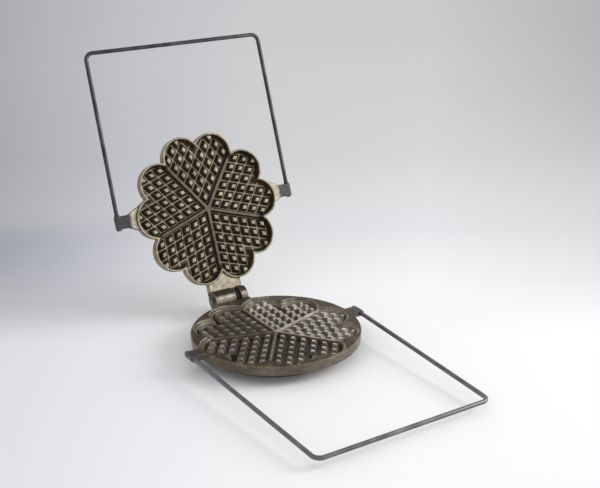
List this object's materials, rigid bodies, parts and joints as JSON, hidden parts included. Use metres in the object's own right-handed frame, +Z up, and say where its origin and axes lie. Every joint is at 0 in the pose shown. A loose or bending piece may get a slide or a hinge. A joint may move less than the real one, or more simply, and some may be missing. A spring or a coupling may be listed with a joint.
{
  "type": "stovetop waffle iron",
  "caption": "Stovetop heart waffle iron standing open: hinged cast-iron plates with sunk hearts full of studs, each plate with a bent steel rod handle.",
  "frame": {"origin": "centre of the foot ring, on the surface it stands on", "axes": "+Z up, +Y towards the hinge, -Y along the lower handle"},
  "size_m": [0.2472, 0.4894, 0.3286],
  "materials": {
    "lower_iron": "rough seasoned casting, grey-brown, rusty at the edge",
    "upper_iron": "rough seasoned casting, dark brown in the hearts and tan on the rims",
    "rod_steel": "dull dark steel rod",
    "pin_steel": "dull dark steel rod"
  },
  "bodies": {
    "lower": {"lower_plate": "lower_iron", "lower_handle": "rod_steel", "hinge_pin": "pin_steel"},
    "upper": {"upper_plate": "upper_iron", "upper_handle": "rod_steel"}
  },
  "joints": [
    {"name": "plate_hinge", "type": "hinge", "parent": "lower", "child": "upper", "pos_m": [0, 0.115, 0.0235], "axis": [1, 0, 0], "range_deg": [0, 112]}
  ]
}
